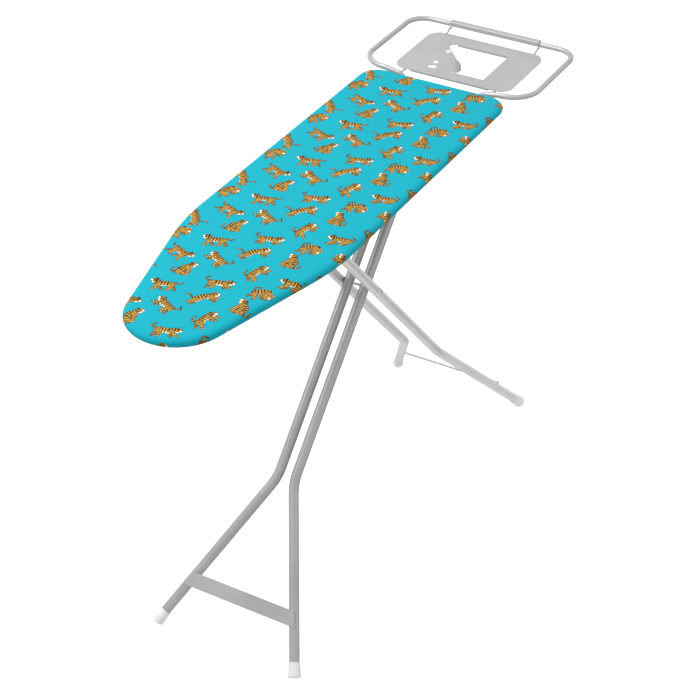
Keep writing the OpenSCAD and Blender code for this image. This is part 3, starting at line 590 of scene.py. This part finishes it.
def outline(margin):
    """Points and outward normals round the board, drawn inwards by a margin, from the rear's middle."""
    corner = np.array([rear_x - CORNER_R, HALF_WIDTH - CORNER_R])
    shoulder = np.array([rear_x + TAPER - LENGTH, HALF_WIDTH - SHOULDER_R])
    nose = np.array([rear_x - LENGTH + NOSE_R, 0.0])
    gap = nose - shoulder
    slope = math.atan2(gap[1], gap[0]) - math.acos((SHOULDER_R - NOSE_R) / np.hypot(*gap))
    slope %= 2 * math.pi
    arcs = [(corner, CORNER_R, 0.0, math.pi / 2), (shoulder, SHOULDER_R, math.pi / 2, slope),
            (nose, NOSE_R, slope, math.pi)]
    spots, normals = [], []
    at = np.array([rear_x, 0.0])
    for centre, radius, start, end in arcs:
        # a straight up to the arc, then the arc
        straight = centre + radius * on_circle(start) - at
        count = max(1, round(np.hypot(*straight) / OUTLINE_STEP))
        spots += [at + straight * i / count for i in range(count)]
        normals += [on_circle(start)] * count
        count = max(6, round(radius * abs(end - start) / (OUTLINE_STEP * 0.8)))
        turns = [on_circle(start + (end - start) * i / count) for i in range(count)]
        spots += [centre + radius * turn for turn in turns]
        normals += turns
        at = centre + radius * on_circle(end)
    spots, normals = np.array(spots + [at]), np.array(normals + [(-1.0, 0.0)])
    other_side = np.array([1.0, -1.0])
    spots = np.vstack([spots, spots[-2:0:-1] * other_side])
    normals = np.vstack([normals, normals[-2:0:-1] * other_side])
    return spots - margin * normals, normals


def uneven_wave(s, period, seed):
    """Smooth seeded noise round a closed path of that length."""
    rng = np.random.default_rng(seed)
    wave = np.zeros_like(s)
    for k in range(1, 5):
        waves = max(1, round(period / (PUCKER_PITCH / k)))
        for count in (waves, waves + 3):
            wave += np.sin(2 * np.pi * count * s / period + rng.uniform(0, 6.28)) / k
    return wave / 2.4


def ring_faces(rows, count):
    """Quads between closed rings of points."""
    faces = []
    for here in range(0, (rows - 1) * count, count):
        below = here + count
        for i in range(count):
            following = (i + 1) % count
            faces.append((here + i, below + i, below + following, here + following))
    return faces


def gathered(rings, flats):
    """The hem as simulated cloth. It was cut longer than the line it is drawn in to, so round the nose
    and the corners the spare length gathers. The first ring is held by the board's edge."""
    count = len(rings[0])
    start = np.vstack(rings)
    mesh = bpy.data.meshes.new("hem_cloth")
    mesh.from_pydata(start.tolist(), [], ring_faces(len(rings), count))
    hem = bpy.data.objects.new("hem_cloth", mesh)
    scene.collection.objects.link(hem)
    folded = np.linalg.norm(rings[-1] - np.roll(rings[-1], -1, axis=0), axis=1)
    spread = np.linalg.norm(flats[-1] - np.roll(flats[-1], -1, axis=0), axis=1)
    spare = np.clip(spread / folded - 1, 0, 1)
    held = hem.vertex_groups.new(name="held")
    held.add(list(range(count)), 1.0, "REPLACE")
    tight = hem.vertex_groups.new(name="tight")
    for k in range(len(rings)):
        for i in range(count):
            tight.add([k * count + i], 1 - spare[i] * k / (len(rings) - 1), "REPLACE")
    cloth = hem.modifiers.new("cloth", "CLOTH")
    cloth.point_cache.frame_start, cloth.point_cache.frame_end = 1, HEM_FRAMES
    settings = cloth.settings
    settings.vertex_group_mass = "held"
    settings.vertex_group_shrink = "tight"
    settings.shrink_min, settings.shrink_max = -HEM_SPARE, 0.0
    settings.quality = 6
    settings.mass = 0.2
    settings.tension_stiffness, settings.compression_stiffness = 12, 2
    settings.shear_stiffness, settings.bending_stiffness = 2, 0.3
    settings.effector_weights.gravity = 0
    for frame_number in range(1, HEM_FRAMES + 1):
        scene.frame_set(frame_number)
    posed = hem.evaluated_get(bpy.context.evaluated_depsgraph_get())
    moved = np.zeros(3 * len(start))
    posed.data.vertices.foreach_get("co", moved)
    scene.frame_set(1)
    bpy.data.objects.remove(hem)
    bpy.data.meshes.remove(mesh)
    shift = moved.reshape(-1, 3) - start
    far = np.linalg.norm(shift, axis=1, keepdims=True)
    shift *= np.minimum(1, HEM_CAP / np.maximum(far, 1e-9))
    moved = start + shift
    moved[:, 2] = np.minimum(moved[:, 2], HEM_CEILING)
    return list(moved.reshape(len(rings), count, 3))


def weld_and_smooth(skin_mesh):
    """Joins the points that fell together on the middle line, and turns the faces outwards."""
    bm = bmesh.new()
    bm.from_mesh(skin_mesh)
    bmesh.ops.remove_doubles(bm, verts=bm.verts, dist=1e-5)
    bmesh.ops.dissolve_degenerate(bm, edges=bm.edges, dist=1e-6)
    bmesh.ops.recalc_face_normals(bm, faces=bm.faces)
    top = max(bm.faces, key=lambda face: face.calc_center_median().z)
    if top.normal.z < 0:
        bmesh.ops.reverse_faces(bm, faces=bm.faces)
    bm.to_mesh(skin_mesh)
    bm.free()
    skin_mesh.polygons.foreach_set("use_smooth", [True] * len(skin_mesh.polygons))


def skin(name, margin, profile, crown, pucker=0.0, hem_rings=0):
    """A skin round the board. profile is [(distance out, height, wrap length)] from the top's rim
    down; the top runs in rings from the middle line to the rim, raised by crown."""
    base, normals = outline(margin)
    count = len(base)
    s = np.cumsum(np.hypot(*(base - np.roll(base, 1, axis=0)).T))
    period = s[-1]
    wave = uneven_wave(s, period, 11) * 0.6 + uneven_wave(s * 3, period * 3, 5) * 0.4
    curve = np.clip(1 - np.abs(normals[:, 1]), 0, 1)
    spine_x = np.clip(base[:, 0], rear_x - LENGTH + NOSE_R, rear_x - SPINE_END)
    middle = np.column_stack([spine_x, np.zeros(count)])
    rings, flats = [], []
    for k in range(TOP_RINGS, 0, -1):
        share = 1 - k / TOP_RINGS
        flat = middle + (base - middle) * share
        height = profile[0][1] + crown * (1 - share**4)
        rings.append(np.column_stack([flat, np.full(count, height)]))
        flats.append(flat)
    whole_wrap = max(wrap for _, _, wrap in profile)
    for out, z, wrap in profile:
        # the skin puckers more the further it is wrapped, and most round the curves
        sag = pucker * (wrap / whole_wrap) ** 2 * wave * (0.5 + 1.2 * curve)
        pull = out + 0.8 * sag
        rings.append(np.column_stack([base + normals * pull[:, None], z - np.abs(sag) * 0.7]))
        flats.append(base + normals * wrap)
    if hem_rings:
        rings[-hem_rings:] = gathered(rings[-hem_rings:], flats[-hem_rings:])
    mesh = bpy.data.meshes.new(name)
    mesh.from_pydata(np.vstack(rings).tolist(), [], ring_faces(len(rings), count))
    corners = np.zeros(len(mesh.loops), np.int64)
    mesh.loops.foreach_get("vertex_index", corners)
    layer = mesh.uv_layers.new(name="Cloth")
    layer.data.foreach_set("uv", np.vstack(flats)[corners].ravel())
    made = bpy.data.objects.new(name, mesh)
    scene.collection.objects.link(made)
    weld_and_smooth(mesh)
    return made


def quarter(x0, x1, z0, z1, start, steps, wrap):
    """A quarter of an ellipse as [(x, z, wrap length)]. From start 0 it goes from (x0, z1) to
    (x1, z0), and from start 90 it goes from (x1, z0) to (x0, z1)."""
    points = []
    for i in range(steps + 1):
        angle = math.radians(start + 90 * i / steps)
        x = x0 + (x1 - x0) * math.sin(angle)
        z = z0 + (z1 - z0) * abs(math.cos(angle))
        if points:
            wrap += math.hypot(x - points[-1][0], z - points[-1][1])
        points.append((x, z, wrap))
    return points


# ---------------------------------------------------------------- cover

ROLL_WIDTH, ROLL_DEPTH = 0.013, 0.0105  # the rounded upper edge
TUCK = 0.0075  # how far the lower edge comes back in
HEM_WIDTH = 0.031
CROWN = 0.0008
edge_z = TOP - ROLL_DEPTH
tuck_out = ROLL_WIDTH - TUCK

upper = quarter(0, ROLL_WIDTH, edge_z, TOP - CROWN, 0, 9, 0.0)
lower = quarter(tuck_out, ROLL_WIDTH, edge_z, UNDER + 0.0002, 90, 7, upper[-1][2])
wrapped = lower[-1][2]
hem = [(tuck_out - d, UNDER + 0.0003, wrapped + d) for d in np.linspace(0.004, HEM_WIDTH, 8)]
cover = skin("cloth_cover", ROLL_WIDTH, upper + lower[1:] + hem, CROWN, pucker=0.0008,
             hem_rings=len(hem) + 1)
cloth_thickness = cover.modifiers.new("thick", "SOLIDIFY")
cloth_thickness.thickness, cloth_thickness.offset = 0.0007, -1
cover.data.materials.append(printed_cotton())
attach(cover, "board")
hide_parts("cover")

# ---------------------------------------------------------------- foam pad

PAD_MARGIN, PAD_EDGE = 0.010, 0.004
PAD_FOOT = 0.0035  # how far the pad's lower edge stands out

pad_lo, pad_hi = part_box("foam_pad")
side = quarter(0, PAD_EDGE, pad_hi.z - 0.003, pad_hi.z - 0.0006, 0, 4, 0.0)
reach = side[-1][2]
side.append((PAD_EDGE, pad_lo.z + 0.001, reach + 0.003))
side.append((PAD_FOOT, pad_lo.z, reach + 0.004))
bottom = [(PAD_FOOT - d, pad_lo.z, reach + 0.004 + d) for d in np.linspace(0.02, 0.09, 5)]
pad = skin("soft_pad", PAD_MARGIN, side + bottom, 0.0004)
pad.data.materials.append(foam())
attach(pad, "board")
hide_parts("foam_pad")

# ---------------------------------------------------------------- floor

PAPER_RADIUS, PAPER_RISE = 12.0, 4.0


def sweep_of_paper(radius, rise, steps=24, sides=64):
    """A round sheet of paper that curves up into a dome, as (points, faces)."""
    profile = [(radius * k / 4, 0.0) for k in range(1, 5)]
    angles = [math.pi / 2 * k / steps for k in range(1, steps + 1)]
    profile += [(radius + rise * math.sin(a), rise * (1 - math.cos(a))) for a in angles]
    dome = radius + rise
    profile += [(dome * math.cos(a), rise + dome * math.sin(a)) for a in angles[:-1]]
    turns = [2 * math.pi * i / sides for i in range(sides)]
    points = [(r * math.cos(t), r * math.sin(t), z) for r, z in profile for t in turns]
    faces = [tuple(reversed(range(sides)))]
    faces += [tuple(reversed(face)) for face in ring_faces(len(profile), sides)]
    return points, faces


floor_mesh = bpy.data.meshes.new("floor")
floor_points, floor_faces = sweep_of_paper(PAPER_RADIUS, PAPER_RISE)
floor_mesh.from_pydata(floor_points, [], floor_faces)
floor_mesh.polygons.foreach_set("use_smooth", [True] * len(floor_mesh.polygons))
floor_mesh.materials.append(paper())
floor = bpy.data.objects.new("floor", floor_mesh)
scene.collection.objects.link(floor)
# the paper is seen, and takes shadows, but neither throws light back nor keeps the studio's light out
floor.visible_diffuse = floor.visible_glossy = floor.visible_shadow = False
